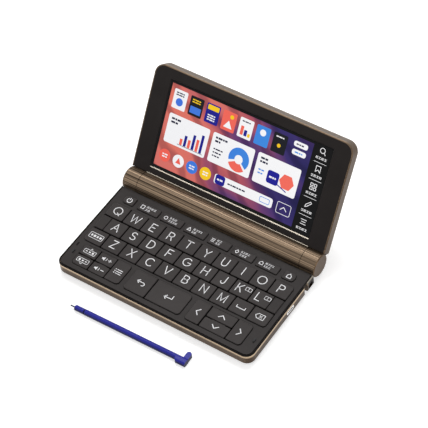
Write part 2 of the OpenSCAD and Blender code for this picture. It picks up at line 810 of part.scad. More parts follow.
// The lid's ends of the barrel, each joined to the shell by a short neck
module knuckles() {
    both_sides() {
        rotate([0, 90, 0]) rotate_extrude() polygon([
            [0, knuckle_x], [barrel_r, knuckle_x], [barrel_r, body_w / 2 - knuckle_bevel],
            [barrel_r - knuckle_bevel, body_w / 2], [0, body_w / 2]
        ]);
        intersection() {
            bar(knuckle_x + 0.5, body_w / 2 - knuckle_x - 2, root_r + lid_wall / 2);
            span([0, body_w], [-body_w, -barrel_r / 2], [neck_z, neck_z + neck_h]);
        }
    }
}

module lid_bezel() {
    color("#26262a") in_lid() difference() {
        union() {
            translate([0, 0, lid_offset]) linear_extrude(bezel_t)
                inside_lid(lid_rim + fit_gap, root_r + 0.15);
            // Frame that holds the panel in its place
            translate([0, window_y, bezel_back - 0.1]) linear_extrude(frame_h + 0.1)
                square([panel_w + 2 * frame_t, panel_h + 2 * frame_t], center = true);
        }
        translate([0, window_y, 0]) {
            linear_extrude(lid_back) square([window_w, window_h], center = true);
            translate([0, 0, bezel_back]) linear_extrude(lid_back)
                square([panel_w + 2 * fit_gap, panel_h + 2 * fit_gap], center = true);
            translate([0, 0, lid_offset + window_bevel - 2])
                bevelled_block(window_w + 2 * window_bevel, window_h + 2 * window_bevel, 2,
                    corners([]), window_bevel);
        }
    }
}

module display_panel() {
    color("#1a1f33") in_lid() translate([0, window_y, 0]) {
        translate([0, 0, glass_z]) linear_extrude(bezel_back - glass_z + 0.1)
            square([window_w - 2 * fit_gap, window_h - 2 * fit_gap], center = true);
        translate([0, 0, bezel_back]) linear_extrude(panel_back - bezel_back)
            square([panel_w, panel_h], center = true);
    }
}

// ---- Stylus ----

module stylus() {
    r = stylus_d / 2;
    arm_w = 3.5;
    arm_t = 3;
    nib_l = 3.4;
    nib_r = 0.5;
    plug_l = 3;
    plug_play = 0.02;
    shoulder = 0.8;
    groove = [11.1, 0.5, 0.3];
    shaft_l = stylus_l - nib_l;
    groove_x = stylus_l - groove[0];
    tip_r = r - 0.1;
    arm_y = stylus_arm - r - collar_out - arm_w / 2;
    translate([stylus_x, -stylus_y, r]) rotate(stylus_turn) {
        color("#b5b8be") rotate([0, -90, 0]) {
            translate([0, 0, shaft_l - plug_l]) cylinder(r = nib_r, h = plug_l + nib_l - nib_r);
            translate([0, 0, stylus_l - nib_r]) sphere(r = nib_r);
        }
        color("#1f2f7a") {
            rotate([0, -90, 0]) rotate_extrude() polygon([
                [0, 0], [r, 0], [r, groove_x - groove[1]], [r - groove[2], groove_x - groove[1] + 0.1],
                [r - groove[2], groove_x], [tip_r, groove_x + 0.3], [tip_r, shaft_l - shoulder],
                [tip_r - shoulder, shaft_l], [nib_r + plug_play, shaft_l],
                [nib_r + plug_play, shaft_l - plug_l - plug_play], [0, shaft_l - plug_l - plug_play]
            ]);
            // Collar, widened towards the front, and the arm across its end
            intersection() {
                rotate([90, 0, -90]) linear_extrude(collar_l) {
                    translate([collar_out, 0]) circle(r);
                    translate([collar_out / 2, 0]) square([collar_out, 2 * r], center = true);
                    circle(r);
                }
                translate([0, 0, -r - 1]) linear_extrude(2 * r + 2) polygon([
                    [0, -2 * r - collar_out], [0, 2 * r], [-collar_l, 2 * r], [-collar_l, -r],
                    [collar_slope - collar_l, -r - collar_out], [collar_slope - collar_l, -2 * r - collar_out]
                ]);
            }
            translate([-arm_w, 0, -arm_t / 2]) linear_extrude(arm_t) {
                square([arm_w, arm_y]);
                translate([arm_w / 2, arm_y]) circle(d = arm_w);
            }
        }
    }
}

placed() bottom_case();
placed() battery_cover();
placed() battery_cells();
placed() battery_contacts();
placed() main_board();
placed() key_mat();
placed() keyboard_deck();
placed() stylus_silo();
placed() case_screws();
placed() rubber_pads();
placed() hinge_pins();
placed() lid_shell();
placed() display_panel();
placed() lid_bezel();
placed() stylus();
for (key = KEYS) placed() key(key);
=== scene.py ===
"""Looks of the folding electronic dictionary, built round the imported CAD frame.

The scene is in metres. Drawings on the keys, the deck and the screen are in millimetres.
"""

import math

import bpy
from mathutils import Matrix, Quaternion, Vector


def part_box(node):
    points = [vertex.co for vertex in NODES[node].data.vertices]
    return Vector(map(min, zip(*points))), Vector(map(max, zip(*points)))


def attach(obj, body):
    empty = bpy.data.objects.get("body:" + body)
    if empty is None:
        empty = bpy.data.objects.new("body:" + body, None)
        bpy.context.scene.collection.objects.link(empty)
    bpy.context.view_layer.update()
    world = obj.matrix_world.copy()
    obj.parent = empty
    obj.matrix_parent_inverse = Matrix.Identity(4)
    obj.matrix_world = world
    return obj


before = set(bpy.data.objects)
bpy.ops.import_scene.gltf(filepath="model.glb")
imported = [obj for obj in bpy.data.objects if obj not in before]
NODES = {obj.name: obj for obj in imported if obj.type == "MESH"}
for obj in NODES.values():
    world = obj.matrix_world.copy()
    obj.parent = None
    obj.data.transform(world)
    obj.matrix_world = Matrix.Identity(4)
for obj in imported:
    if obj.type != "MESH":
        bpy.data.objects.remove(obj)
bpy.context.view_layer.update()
MM = 0.001
pins_low, pins_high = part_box("hinge_pins")
AXIS = (pins_low + pins_high) / 2

TABLE = Matrix.Identity(4)
LID_OPEN = math.radians(123.5)
# Lid drawing plane: x to the right, y away from the hinge axis, z towards the viewer
LID = (Matrix.Translation(AXIS) @ Matrix.Rotation(-LID_OPEN, 4, "X")
       @ Matrix.Diagonal((1, -1, -1, 1)))
LID_INVERSE = LID.inverted()


def add_object(name, data):
    obj = bpy.data.objects.new(name, data)
    bpy.context.scene.collection.objects.link(obj)
    return obj


def add_piece(name, mat, body, plane, points, faces):
    """Mesh piece from points in millimetres in a plane, riding on a body."""
    mesh = bpy.data.meshes.new(name)
    mesh.from_pydata([(x * MM, y * MM, z * MM) for x, y, z in points], [], faces)
    mesh.transform(plane)
    mesh.materials.append(mat)
    mesh.update()
    obj = add_object(name, mesh)
    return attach(obj, body)


# ---- Camera: 428 x 428 view fitted to the photograph ----

camera = add_object("camera", bpy.data.cameras.new("camera"))
camera.data.lens = 147.3
camera.data.sensor_width = 36
camera.data.clip_start = 0.05
camera.location = (0.453181, AXIS.y - 0.550516, 0.877770)
camera.rotation_mode = "QUATERNION"
camera.rotation_quaternion = Quaternion((0.90399, 0.310317, 0.136619, 0.260464))
bpy.context.scene.camera = camera
bpy.context.scene.view_settings.view_transform = "Standard"

# ---- Colours ----


def rgb(*values):
    """Linear colour from sRGB bytes."""
    out = []
    for v in values:
        c = v / 255
        out.append(c / 12.92 if c <= 0.04045 else ((c + 0.055) / 1.055) ** 2.4)
    return (*out, 1.0)


def grey(value):
    """Linear grey, mostly to multiply another colour by."""
    return (value, value, value, 1)


BLACK, WHITE = grey(0), grey(1)

# ---- Node trees and materials ----


class Nodes:
    """A node tree with a few shorthands. Inputs take a number, a colour or an output."""

    def __init__(self, tree):
        self.tree = tree

    def feed(self, value, target):
        if isinstance(value, bpy.types.NodeSocket):
            self.tree.links.new(value, target)
        else:
            target.default_value = value

    def node(self, kind, **settings):
        """New node; settings are its properties, or its inputs with _ for a space."""
        n = self.tree.nodes.new(kind)
        for key, value in settings.items():
            if hasattr(n, key):
                setattr(n, key, value)
            else:
                self.feed(value, n.inputs[key.replace("_", " ")])
        return n

    def calculate(self, operation, *values):
        n = self.node("ShaderNodeMath", operation=operation)
        for value, target in zip(values, n.inputs):
            self.feed(value, target)
        return n.outputs["Value"]

    def normal(self):
        return self.node("ShaderNodeNewGeometry").outputs["Normal"]

    def split(self, vector):
        """The outputs X, Y and Z of a vector."""
        return self.node("ShaderNodeSeparateXYZ", Vector=vector).outputs

    def coords(self, scale=(1, 1, 1), shift=(0, 0, 0)):
        place = self.node("ShaderNodeTexCoord").outputs["Object"]
        mapping = self.node("ShaderNodeMapping", Vector=place, Scale=scale, Location=shift)
        return mapping.outputs["Vector"]

    def noise(self, vector, detail, scale=1.0):
        n = self.node("ShaderNodeTexNoise", Vector=vector, Scale=scale, Detail=detail)
        return n.outputs["Fac"]

    def wave(self, vector, **settings):
        n = self.node("ShaderNodeTexWave", bands_direction="DIAGONAL", Vector=vector, **settings)
        return n.outputs["Fac"]

    def ramp(self, fac, stops):
        """Colour ramp with stops of (position, colour)."""
        n = self.node("ShaderNodeValToRGB", Fac=fac)
        elements = n.color_ramp.elements
        while len(elements) < len(stops):
            elements.new(0.5)
        for element, (position, colour) in zip(elements, stops):
            element.position = position
            element.color = colour
        return n.outputs["Color"]

    def remap(self, value, low, high, from_low=0.3, from_high=0.7):
        """Maps from_low to low and from_high to high, and clamps."""
        n = self.node("ShaderNodeMapRange", Value=value, From_Min=from_low, From_Max=from_high,
                      To_Min=low, To_Max=high)
        return n.outputs["Result"]

    def mix(self, fac, a, b, blend="MIX"):
        n = self.node("ShaderNodeMix", data_type="RGBA", blend_type=blend)
        # Sockets 6 and 7 are the colours; the others have the same names
        for value, index in ((fac, 0), (a, 6), (b, 7)):
            self.feed(value, n.inputs[index])
        return n.outputs[2]

    def multiply(self, a, b):
        return self.mix(1.0, a, b, "MULTIPLY")


class Shader(Nodes):
    """A Principled material."""

    def __init__(self, name, **sockets):
        self.mat = bpy.data.materials.new(name)
        self.mat.use_nodes = True
        super().__init__(self.mat.node_tree)
        self.surface(**sockets)

    def surface(self, **sockets):
        """Feeds the shader's inputs, named with _ for a space."""
        bsdf = self.tree.nodes["Principled BSDF"]
        for key, value in sockets.items():
            self.feed(value, bsdf.inputs[key.replace("_", " ")])
        return self.mat

    def bump(self, height, strength, distance):
        n = self.node("ShaderNodeBump", Height=height, Strength=strength, Distance=distance)
        return n.outputs["Normal"]


BRUSH_FINE, BRUSH_BROAD = (5, 2000, 2000), (3, 1100, 1100)  # Noise scales along X, Y and Z
SATIN_GRAIN = 1800
RIBS = 40  # Even lines round the hinge barrel
WALL_HEIGHT = 18 * MM  # Places of the painted highlight line and of the painted shade at the foot are shares of this height above the table
BARREL_FRONT = 16 * MM  # The painted highlight line ends here
FADE = 0.2 * MM


def hairline_metal(name, dark, light, rough, metallic=0.75, end_tint=WHITE, ribbed=False,
                   painted_highlight=None):
    """Anodised metal with fine brush lines along X, and satin where it faces along X.

    end_tint multiplies the colour of those satin faces. ribbed adds even lines round the hinge
    axis. painted_highlight is the colour of a painted highlight, a bright line below the rim of the
    base over the darker wall, and brings painted shade, darker towards the foot of the wall.
    """
    s = Shader(name, Metallic=metallic)
    along = s.calculate("ABSOLUTE", s.split(s.normal())["X"])
    end = s.remap(along, 0, 1, 0.35, 0.8)
    satin = s.remap(s.noise(s.coords(), 2, scale=SATIN_GRAIN), 0.41, 0.47)
    fine = s.mix(end, s.noise(s.coords(BRUSH_FINE), 2), satin)
    broad = s.mix(end, s.noise(s.coords(BRUSH_BROAD), 1), satin)
    colour = s.ramp(s.mix(0.65, broad, fine), [(0.38, dark), (0.6, light)])
    colour = s.multiply(colour, s.mix(end, WHITE, end_tint))
    if ribbed:
        place = s.split(s.coords(shift=(0, -AXIS.y, -AXIS.z)))
        turn = s.calculate("ARCTAN2", place["Z"], place["Y"])
        wave = s.calculate("SINE", s.calculate("MULTIPLY", turn, RIBS))
        depth = s.mix(end, s.remap(wave, 0, 1, -1, 1), grey(0.6))
        colour = s.multiply(colour, s.ramp(depth, [(0.1, grey(0.55)), (0.7, WHITE)]))
    if painted_highlight:
        place = s.split(s.coords())
        height = s.remap(place["Z"], 0, 1, 0, WALL_HEIGHT)
        front = s.remap(place["Y"], 1, 0, BARREL_FRONT, BARREL_FRONT + FADE)
        # Painted highlight: a bright band on the wall just below the rim, ending at the barrel
        band = s.ramp(height, [(0.37, BLACK), (0.42, WHITE), (0.485, WHITE), (0.49, BLACK)])
        colour = s.mix(s.multiply(band, front), colour, painted_highlight)
        # Painted shade: darker towards the foot of the wall, near the table
        colour = s.multiply(colour, s.ramp(height, [(0.05, grey(0.3)), (0.13, WHITE)]))
    return s.surface(Base_Color=colour, Roughness=s.remap(fine, *rough),
                     Normal=s.bump(fine, 0.25, 0.04 * MM))


def grained_plastic(name, dark, light, rough=(0.42, 0.58), grain=2600, height=0.03 * MM,
                    **sockets):
    """Moulded plastic with a fine spark-eroded grain and slightly uneven sheen."""
    s = Shader(name, **sockets)
    fine = s.noise(s.coords(), 2, scale=grain)
    broad = s.noise(s.coords(), 3, scale=60)
    return s.surface(Base_Color=s.ramp(broad, [(0.3, dark), (0.7, light)]),
                     Roughness=s.remap(fine, *rough), Normal=s.bump(fine, 0.3, height))


def print_ink(name, low, high):
    """Screen-printed ink, a little uneven in its cover."""
    s = Shader(name, Roughness=0.55)
    cover = s.noise(s.coords(), 2, scale=2200)
    return s.surface(Base_Color=s.ramp(cover, [(0.3, low), (0.6, high)]),
                     Normal=s.bump(cover, 0.1, 0.01 * MM))


SCREEN_HALF = 60 * MM  # A lit colour changes this far to either side of the middle
SCREEN_GRAIN = 4000


def lit(name, stops, waves=0.0):
    """Lit screen colour: a gradient along X, with a faint grain.

    waves is the share of soft waves in the gradient, and adds folds of shade.
    """
    s = Shader(name, Roughness=0.3, Specular_IOR_Level=0.1, Emission_Strength=0.8)
    t = s.remap(s.split(s.coords())["X"], 0, 1, -SCREEN_HALF, SCREEN_HALF)
    if waves:
        swell = s.wave(s.coords((1, 1.6, 1.6)), Scale=9.0, Distortion=5.0, Detail=1.0,
                       Detail_Scale=1.5)
        t = s.mix(waves, t, swell)
    colour = s.ramp(t, stops)
    if waves:
        fold = s.wave(s.coords((1.5, 1, 1)), Scale=22.0, Distortion=7.0, Detail=1.0,
                      Detail_Scale=0.8)
        shade = s.ramp(fold, [(0.1, (0.62, 0.6, 0.68, 1)), (0.5, WHITE)])
        colour = s.multiply(colour, shade)
    grain = s.noise(s.coords((SCREEN_GRAIN, SCREEN_GRAIN, SCREEN_GRAIN)), 0)
    colour = s.multiply(colour, s.ramp(grain, [(0.3, grey(0.94)), (0.6, WHITE)]))
    return s.surface(Base_Color=s.multiply(colour, grey(0.25)), Emission_Color=colour)


def stylus_plastic():
    """Deep blue moulding: satin, painted lighter on top and with painted shade where the round
    surface turns away from above.
    """
    s = Shader("stylus_blue", Specular_IOR_Level=0.2)
    # Painted light and shade: colour by how far the normal rises, dark on the sides, bright on top
    painted_light_and_shade = s.ramp(s.split(s.normal())["Z"], [(0.1, rgb(10, 11, 58)), (0.55, rgb(19, 21, 104)),
                                             (0.9, rgb(33, 36, 146))])
    fine = s.noise(s.coords(), 2, scale=1400)
    uneven = s.ramp(s.noise(s.coords(), 2, scale=90), [(0.3, grey(0.9)), (0.7, WHITE)])
    return s.surface(Base_Color=s.multiply(painted_light_and_shade, uneven), Roughness=s.remap(fine, 0.34, 0.44),
                     Normal=s.bump(fine, 0.3, 0.03 * MM))


CELL_LENGTH = 50.5 * MM


def cell_jacket():
    """Foil sleeve of a cell: pale metal body with a coloured band, mirrored in the middle."""
    s = Shader("cell_jacket", Metallic=0.6, Roughness=0.3)
    place = s.calculate("PINGPONG", s.split(s.coords())["X"], CELL_LENGTH)
    blue = rgb(60, 92, 140)
    sleeve = s.ramp(s.remap(place, 0, 1, 0, CELL_LENGTH),
                    [(0.0, rgb(176, 178, 182)), (0.6, rgb(190, 192, 196)), (0.64, blue),
                     (0.94, blue), (0.97, rgb(180, 182, 186))])
    return s.surface(Base_Color=sleeve,
                     Normal=s.bump(s.noise(s.coords(), 4, scale=300), 0.1, 0.02 * MM))


WARM = (0.8, 0.66, 0.48, 1)  # For the ends of the bronze pieces, which mirror the white floor
METAL = hairline_metal("bronze_metal", rgb(70, 57, 44), rgb(104, 86, 68), (0.34, 0.46),
                       end_tint=WARM)
# The base's wall gets a painted highlight line below the rim and painted shade at its foot
BASE_METAL = hairline_metal("bronze_metal_base", rgb(50, 39, 28), rgb(100, 79, 58), (0.34, 0.48),
                            end_tint=WARM, painted_highlight=rgb(186, 163, 134))
BARREL = hairline_metal("bronze_metal_barrel", rgb(58, 46, 34), rgb(140, 119, 97), (0.34, 0.48),
                        end_tint=WARM, ribbed=True)
STEEL = hairline_metal("bright_steel", rgb(150, 150, 152), rgb(200, 200, 202), (0.2, 0.35), 1.0)
DARK_STEEL = hairline_metal("dark_steel", rgb(52, 52, 55), rgb(84, 84, 88), (0.3, 0.45), 1.0)
# Satin trim of the window sill and the lid's lower edge; on the lug's edge it is a painted
# highlight
TRIM_AND_HIGHLIGHT = grained_plastic("satin_trim_and_highlight", rgb(140, 132, 120), rgb(164, 156, 142), (0.36, 0.46), 1500,
                       0.01 * MM, Metallic=0.6)
NICKEL = grained_plastic("satin_nickel", rgb(236, 236, 236), rgb(248, 248, 248), (0.14, 0.2), 1500,
                         0.01 * MM, Metallic=0.9)
# Painted shade: near black, for the gap along the deck's edge and for the sound slot
GAP_SHADE = grained_plastic("painted_gap_shade", rgb(13, 11, 10), rgb(19, 17, 16), (0.6, 0.75), 1500,
                       Specular_IOR_Level=0.1)
DECK = grained_plastic("charcoal_deck", rgb(39, 35, 34), rgb(45, 41, 40), Specular_IOR_Level=0.14)
KEY = grained_plastic("key_plastic", rgb(47, 43, 42), rgb(53, 49, 48), grain=3000,
                      Specular_IOR_Level=0.14)
# Painted shade: darker sides of the keys and walls of the deck's key openings, in the keys' plastic
KEY_SIDE_SHADE = grained_plastic("key_skirt", rgb(24, 21, 20), rgb(30, 27, 26), grain=3000,
                        Specular_IOR_Level=0.08)
BEZEL = grained_plastic("bezel_black", rgb(38, 34, 33), rgb(43, 39, 38), (0.32, 0.4), 3200,
                        Specular_IOR_Level=0.06)
GLASS = grained_plastic("screen_glass", rgb(8, 8, 10), rgb(11, 11, 14), (0.1, 0.14), 80,
                        0.002 * MM, Specular_IOR_Level=0.12)
RUBBER = grained_plastic("pad_rubber", rgb(14, 14, 15), rgb(21, 21, 22), (0.7, 0.85), 1500)
MAT = grained_plastic("dome_mat", rgb(20, 20, 21), rgb(27, 27, 28), (0.6, 0.75), 1200)
BOARD = grained_plastic("circuit_board", rgb(18, 66, 40), rgb(24, 84, 52), (0.3, 0.4), 700)
STYLUS = stylus_plastic()
NIB = grained_plastic("nib_grey", rgb(92, 98, 96), rgb(112, 118, 116), (0.5, 0.6), 1800)
# Painted shade: darker blue in the stylus's groove
GROOVE_SHADE = grained_plastic("stylus_groove_shade", rgb(9, 10, 44), rgb(13, 14, 54), grain=1400,
                         Specular_IOR_Level=0.1)
INK = print_ink("legend_ink", rgb(205, 205, 206), rgb(236, 236, 238))
DIM_INK = print_ink("legend_ink_dim", rgb(150, 150, 152), rgb(186, 186, 188))

# ---- Materials of the CAD nodes ----


def dress(node, mat):
    mesh = NODES[node].data
    mesh.materials.clear()
    mesh.materials.append(mat)


def dress_where(node, mat, test):
    """Gives the faces that pass the test one more material."""
    mesh = NODES[node].data
    mesh.materials.append(mat)
    index = len(mesh.materials) - 1
    for p in mesh.polygons:
        if test(p):
            p.material_index = index


WALL_RISE = 0.4  # The normal of a key's or an opening's wall rises less than this
UPWARD, LEVEL = 0.5, 0.9  # A face looks up, and is level, if its normal rises more than these
NIB_END = -45.3 * MM  # The stylus is its nib to the left of this
STYLUS_GROOVE = (-38.8 * MM, -37.0 * MM)
BARREL_REACH = 8.2 * MM  # A little over the barrel's radius
BARREL_CLEAR = 8 * MM  # In front of the axis by this much, the rim of the base begins
LUG_FRONT = 14.6 * MM  # The lug that holds the stylus lies between this and BARREL_CLEAR
LUG_SIDE, LUG_EDGE = 66.5 * MM, 70.5 * MM
RIM_FOOT = 8.6 * MM
SOCKET_SIDE, BOARD_TOP, BOARD_FOOT = 68 * MM, 4.05 * MM, 2.99 * MM
SILL_ALONG, SILL_DEPTH, SILL_HALF = (12.6, 13.4), (-1.1, -0.4), 61.5  # In the lid's plane, in mm


def is_wall(p):
    return p.normal.z < WALL_RISE


def is_barrel(p):
    return math.hypot(p.center.y - AXIS.y, p.center.z - AXIS.z) < BARREL_REACH


def is_rim(p):
    return p.center.z > RIM_FOOT and p.normal.z > UPWARD and p.center.y < AXIS.y - BARREL_CLEAR


def beside_lug(p, side):
    return p.center.x > side and -LUG_FRONT < p.center.y - AXIS.y < -BARREL_CLEAR


def is_lug_wall(p):
    return beside_lug(p, LUG_SIDE) and p.center.z < RIM_FOOT and p.normal.z < UPWARD


def is_lug_edge(p):
    return beside_lug(p, LUG_EDGE) and p.center.z > RIM_FOOT and UPWARD < p.normal.z < LEVEL


def is_window_sill(p):
    at = LID_INVERSE @ p.center / MM
    return (SILL_ALONG[0] < at.y < SILL_ALONG[1] and SILL_DEPTH[0] < at.z < SILL_DEPTH[1]
            and abs(at.x) < SILL_HALF)


for node in NODES:
    if node.startswith("key_") and node != "key_mat":
        dress(node, KEY)
        # Painted shade on the key's sides
        dress_where(node, KEY_SIDE_SHADE, is_wall)
for node, mat in (("bottom_case", BASE_METAL), ("battery_cover", BARREL), ("lid_shell", METAL),
                  ("battery_cells", cell_jacket()), ("battery_contacts", STEEL),
                  ("main_board", BOARD), ("key_mat", MAT), ("keyboard_deck", DECK),
                  ("stylus_silo", DECK), ("case_screws", DARK_STEEL), ("rubber_pads", RUBBER),
                  ("hinge_pins", DARK_STEEL), ("display_panel", GLASS), ("lid_bezel", BEZEL),
                  ("stylus", STYLUS)):
    dress(node, mat)
# Painted shade on the walls of the deck's openings
dress_where("keyboard_deck", KEY_SIDE_SHADE, is_wall)
dress_where("stylus", NIB, lambda p: p.center.x < NIB_END)
# Painted shade in the groove of the stylus
dress_where("stylus", GROOVE_SHADE, lambda p: STYLUS_GROOVE[0] < p.center.x < STYLUS_GROOVE[1])
dress_where("lid_shell", BARREL, is_barrel)
# Socket on the board, chips below it
dress_where("main_board", STEEL,
            lambda p: p.center.x > SOCKET_SIDE and p.center.z > BOARD_TOP)
dress_where("main_board", RUBBER, lambda p: p.center.z < BOARD_FOOT)
# Base: barrel, painted shade on the bevel along the deck, dark lug with a painted highlight on its
# edge
dress_where("bottom_case", BARREL, is_barrel)
# Painted shade on the rim's bevel beside the deck
dress_where("bottom_case", GAP_SHADE, is_rim)
dress_where("bottom_case", DECK, is_lug_wall)
# Painted highlight on the lug's upper edge
dress_where("bottom_case", TRIM_AND_HIGHLIGHT, is_lug_edge)
dress_where("lid_bezel", TRIM_AND_HIGHLIGHT, is_window_sill)

# ---- Flat drawing: strokes and filled shapes in a plane ----


def arc(cx, cy, rx, ry, a0, a1, n):
    """Points of an elliptic arc from a0 to a1 degrees."""
    angles = [math.radians(a0 + (a1 - a0) * k / n) for k in range(n + 1)]
    return [(cx + rx * math.cos(a), cy + ry * math.sin(a)) for a in angles]


def ring(cx, cy, r, n):
    return arc(cx, cy, r, r, 0, 360, n)[:-1]


def rounded(x, y, w, h, r=0.0):
    """Outline of a rounded rectangle centred on x, y."""
    left, right, low, high = x - w / 2, x + w / 2, y - h / 2, y + h / 2
    if r <= 0:
        return [(left, low), (right, low), (right, high), (left, high)]
    out = []
    for cx, cy, a0 in ((right - r, low + r, -90), (right - r, high - r, 0),
                       (left + r, high - r, 90), (left + r, low + r, 180)):
        out += arc(cx, cy, r, r, a0, a0 + 90, 4)
    return out


# Marks that a drawing places: points, width of the pen (None if filled), closed or not


def line(points, pen):
    return points, pen, False


def loop(points, pen):
    return points, pen, True


def solid(points):
    return points, None, True


class Drawing:
    """Collects flat faces, in millimetres, and makes one mesh piece of them."""

    def __init__(self, plane, z):
        self.plane, self.z = plane, z
        self.points, self.faces = [], []

    def fill(self, outline):
        start = len(self.points)
        self.points += [(p[0], p[1], self.z) for p in outline]
        self.faces.append(list(range(start, start + len(outline))))

    def box(self, x, y, w, h, r=0.0):
        self.fill(rounded(x, y, w, h, r))

    def stroke(self, points, width, closed=False):
        """Ribbon of even width with mitred joints and round ends."""
        pts = [Vector(p) for p in points]
        n = len(pts)
        half = width / 2
        left, right = [], []
        for i, p in enumerate(pts):
            before = pts[i - 1] if i > 0 or closed else None
            after = pts[(i + 1) % n] if i < n - 1 or closed else None
            d1 = (p - before).normalized() if before is not None else (after - p).normalized()
            d2 = (after - p).normalized() if after is not None else d1
            mid = d1 + d2
            # A sharp turn has no useful middle direction, and its mitre stays short
            mid = mid.normalized() if mid.length > 0.2 else d1
            normal = Vector((-mid.y, mid.x))
            reach = half / max(0.45, normal.dot(Vector((-d1.y, d1.x))))
            left.append(p + normal * reach)
            right.append(p - normal * reach)
        for i in range(n if closed else n - 1):
            j = (i + 1) % n
            self.fill([right[i], right[j], left[j], left[i]])
        if not closed:
            for end, inner in ((pts[0], pts[1]), (pts[-1], pts[-2])):
                outward = end - inner
                start = math.degrees(math.atan2(outward.y, outward.x)) - 90
                self.fill(arc(end.x, end.y, half, half, start, start + 180, 6))

    def draw(self, marks, x, y, size=1.0):
        """Places marks around x, y. Their pens aren't scaled."""
        for points, pen, closed in marks:
            placed = [(x + px * size, y + py * size) for px, py in points]
            if pen is None:
                self.fill(placed)
            else:
                self.stroke(placed, pen, closed)

    def piece(self, name, mat, body):
        return add_piece(name, mat, body, self.plane, self.points, self.faces)


# ---- Key legends ----


def open_strokes(*strokes):
    return [(points, False) for points in strokes]


# Letters as strokes on a cap height of 1: (points, closed)
O_RING = ring(.5, .5, .5, 28)
P_STROKE = [(0, 0), (0, 1), (.34, 1)] + arc(.34, .73, .27, .27, 80, -90, 8) + [(0, .46)]
LETTERS = {
    "a": open_strokes([(0, 0), (.4, 1), (.8, 0)], [(.14, .34), (.66, .34)]),
    "b": open_strokes([(0, 0), (0, 1), (.34, 1)] + arc(.34, .76, .26, .24, 80, -90, 8)
                      + [(0, .52)],
                      [(.34, .52)] + arc(.36, .26, .3, .26, 80, -90, 8) + [(0, 0)]),
    "c": open_strokes(arc(.46, .5, .46, .5, 48, 312, 18)),
    "d": [([(0, 0), (0, 1), (.28, 1)] + arc(.28, .5, .46, .5, 80, -90, 12), True)],
    "e": open_strokes([(.58, 1), (0, 1), (0, 0), (.6, 0)], [(0, .52), (.52, .52)]),
    "f": open_strokes([(.56, 1), (0, 1), (0, 0)], [(0, .5), (.5, .5)]),
    "g": open_strokes(arc(.48, .5, .48, .5, 50, 338, 20) + [(.93, .46), (.54, .46)]),
    "h": open_strokes([(0, 0), (0, 1)], [(.7, 0), (.7, 1)], [(0, .5), (.7, .5)]),
    "i": open_strokes([(0, 0), (0, 1)]),
    "j": open_strokes([(.46, 1), (.46, .26)] + arc(.23, .26, .23, .26, -12, -180, 8)),
    "k": open_strokes([(0, 0), (0, 1)], [(.62, 1), (0, .36)], [(.22, .58), (.66, 0)]),
    "l": open_strokes([(0, 1), (0, 0), (.54, 0)]),
    "m": open_strokes([(0, 0), (0, 1), (.41, .08), (.82, 1), (.82, 0)]),
    "n": open_strokes([(0, 0), (0, 1), (.68, 0), (.68, 1)]),
    "o": [(O_RING, True)],
    "p": open_strokes(P_STROKE),
    "q": [(O_RING, True), ([(.56, .26), (.9, -.06)], False)],
    "r": open_strokes(P_STROKE, [(.36, .46), (.62, 0)]),
    "s": open_strokes(arc(.31, .745, .28, .255, 28, 262, 12)
                      + arc(.31, .25, .3, .25, 82, -152, 12)),
    "t": open_strokes([(0, 1), (.74, 1)], [(.37, 1), (.37, 0)]),
    "u": open_strokes([(0, 1), (0, .34)] + arc(.34, .34, .34, .34, 192, 348, 10)
                      + [(.68, .34), (.68, 1)]),
    "v": open_strokes([(0, 1), (.38, 0), (.76, 1)]),
    "w": open_strokes([(0, 1), (.27, 0), (.54, .94), (.81, 0), (1.08, 1)]),
    "x": open_strokes([(0, 0), (.68, 1)], [(0, 1), (.68, 0)]),
    "y": open_strokes([(0, 1), (.35, .46), (.7, 1)], [(.35, .46), (.35, 0)]),
    "z": open_strokes([(0, 1), (.64, 1), (0, 0), (.66, 0)]),
}

CAP, LETTER_PEN, LETTER_RISE = 5.85, 0.58, 0.4
DECK_TOP, ROCKER_TOP, KEY_TOP = 9.3, 9.8, 10.1
LIFT = 0.02  # Print lies this much above what it is on
HALF_ROCKER = 4.305  # From the middle of a rocker to the middle of either half


def legend(node, placed, top=KEY_TOP):
    """Prints marks on a key; placed holds (marks, dx, dy, size), from the key's middle."""
    low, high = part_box(node)
    x, y = (low.x + high.x) / 2 / MM, (low.y + high.y) / 2 / MM
    d = Drawing(TABLE, top + LIFT)
    for marks, dx, dy, size in placed:
        d.draw(marks, x + dx, y + dy, size)
    d.piece(node.replace("key_", "legend_"), INK, node)


def letter_marks(strokes):
    """Marks of a letter with its middle at 0, 0."""
    xs = [x for points, _ in strokes for x, _ in points]
    middle = (min(xs) + max(xs)) / 2
    return [([(x - middle, y - 0.5) for x, y in points], LETTER_PEN, closed)
            for points, closed in strokes]


# K and L stand at the left of a small framed mark
FRAMED = [loop(rounded(0, 0, 4.2, 2.5, 0.4), 0.32), line([(0, -0.9), (0, 0.9)], 0.32)]
for letter, strokes in LETTERS.items():
    shift, beside = (-1.9, [(FRAMED, 3.8, 1.8, 1)]) if letter in "kl" else (0, [])
    legend("key_" + letter, [(letter_marks(strokes), shift, LETTER_RISE, CAP)] + beside)

SIGN_TOP, SIGN_FOOT, SIGN_PEN = 0.55, -0.6, 0.27


def sign(width, barred):
    """Invented sign of thin strokes, as small print looks from afar."""
    left, right = -width / 2, width / 2
    marks = [line([(left, SIGN_TOP), (right, SIGN_TOP)], SIGN_PEN),
             line([(left, SIGN_FOOT), (right, SIGN_FOOT)], SIGN_PEN)]
    if barred:
        marks.append(line([(0, SIGN_TOP), (0, SIGN_FOOT)], 0.3))
    else:
        marks.append(line([(left, 0), (right, 0)], SIGN_PEN))
        marks.append(line([(left, SIGN_TOP), (left, SIGN_FOOT)], SIGN_PEN))
    return marks


